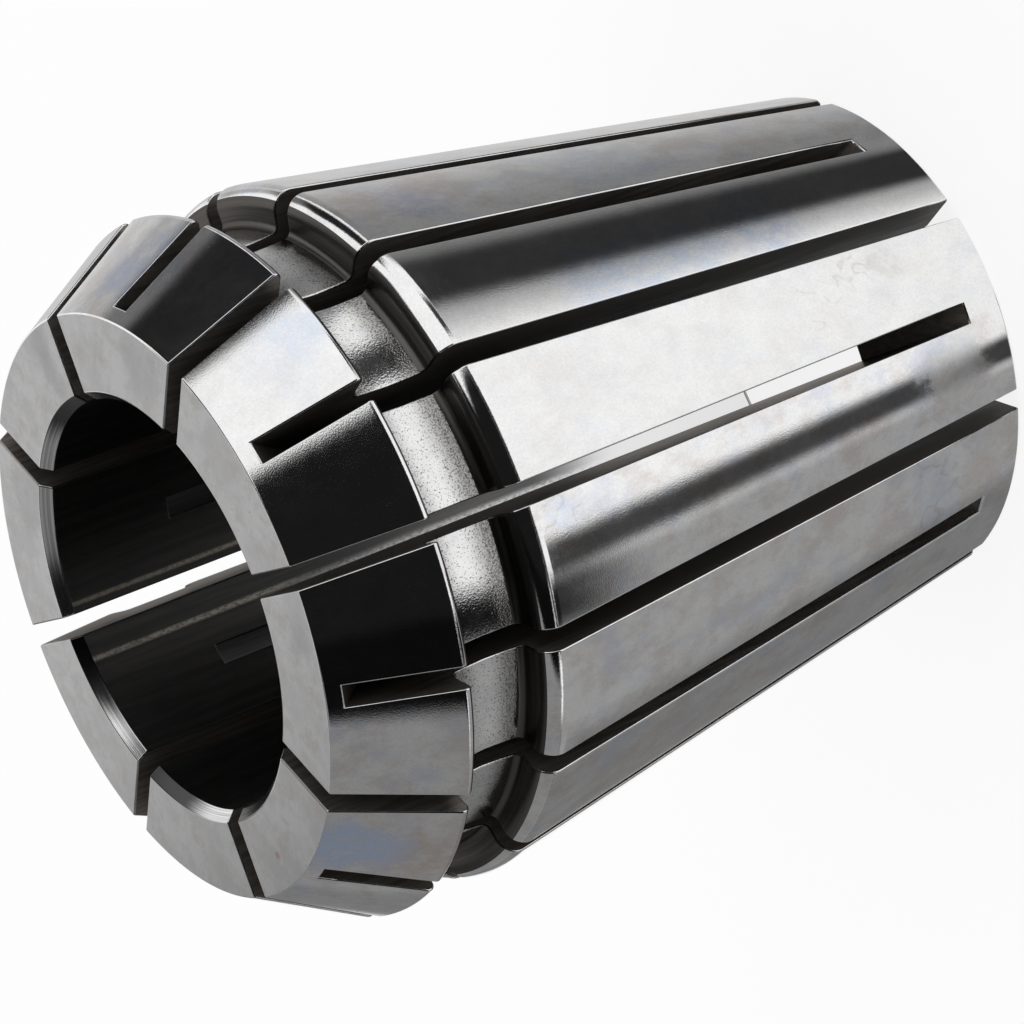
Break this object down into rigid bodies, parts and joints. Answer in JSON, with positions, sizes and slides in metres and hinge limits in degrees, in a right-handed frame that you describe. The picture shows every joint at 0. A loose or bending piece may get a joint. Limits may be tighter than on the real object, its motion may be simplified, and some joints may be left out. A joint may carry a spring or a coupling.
{
  "type": "er collet",
  "caption": "Slotted spring collet with a long ground taper, a nut groove, a nose cone and a straight bore that grips a round tool shank.",
  "frame": {"origin": "centre of the rear face, the small end, which the collet stands on", "axes": "+Z along the bore axis, from the rear face towards the nose; +X through the middle of a slot that is sawn from the nose"},
  "size_m": [0.033, 0.033, 0.04],
  "materials": {
    "ground_steel": "hardened steel, ground bright on the taper and the nose cone, finely ground satin on the nose face, turned satin in the groove"
  },
  "bodies": {
    "root": {"collet": "ground_steel"}
  },
  "joints": []
}
